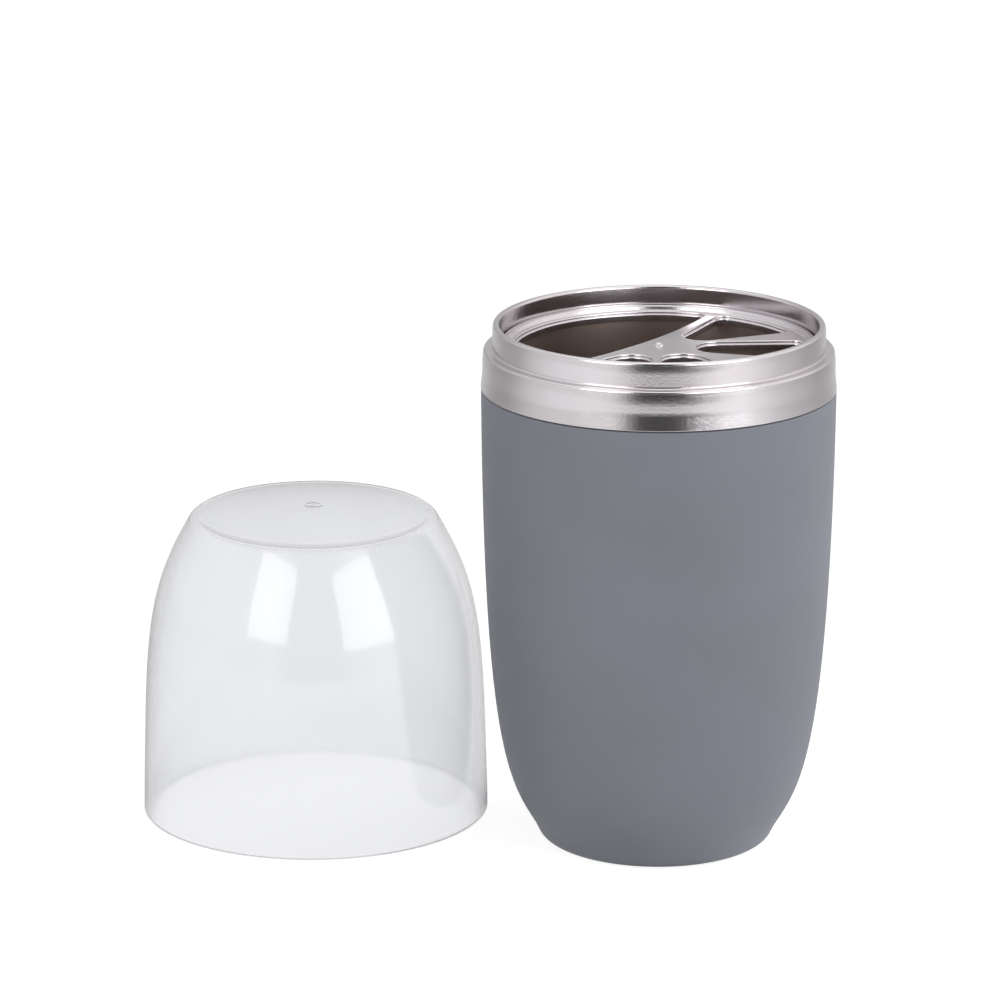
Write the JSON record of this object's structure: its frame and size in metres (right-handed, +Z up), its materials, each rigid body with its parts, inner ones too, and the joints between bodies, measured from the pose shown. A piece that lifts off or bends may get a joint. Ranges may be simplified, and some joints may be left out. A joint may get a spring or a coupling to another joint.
{
  "type": "toothbrush holder with lid",
  "caption": "Tall round bathroom holder with a matte cup, a stepped steel collar, a lift-out divider with openings for brushes and a tube, and a loose clear domed lid standing beside it.",
  "frame": {"origin": "centre of the holder's foot, on the surface that the holder and its lid stand on", "axes": "+Z up along the holder's axis; +X to the right and +Y away, as the picture looks at it; the lid stands to the -X side"},
  "size_m": [0.1784, 0.1136, 0.1358],
  "materials": {
    "foot_rubber": "matt",
    "grey_shell": "soft matt",
    "liner_steel": "dull satin",
    "collar_steel": "fine satin",
    "divider_steel": "fine satin",
    "clear_plastic": "clear, polished"
  },
  "bodies": {
    "holder": {"base_pad": "foot_rubber", "outer_cup": "grey_shell", "inner_cup": "liner_steel", "collar": "collar_steel"},
    "divider": {"divider": "divider_steel"},
    "lid": {"lid": "clear_plastic"}
  },
  "joints": [
    {"name": "divider_lift", "type": "slide", "parent": "holder", "child": "divider", "axis": [0, 0, 1], "range_m": [0, 0.03]},
    {"name": "lid_lift", "type": "slide", "parent": "holder", "child": "lid", "axis": [0, 0, 1], "range_m": [0, 0.15]}
  ]
}
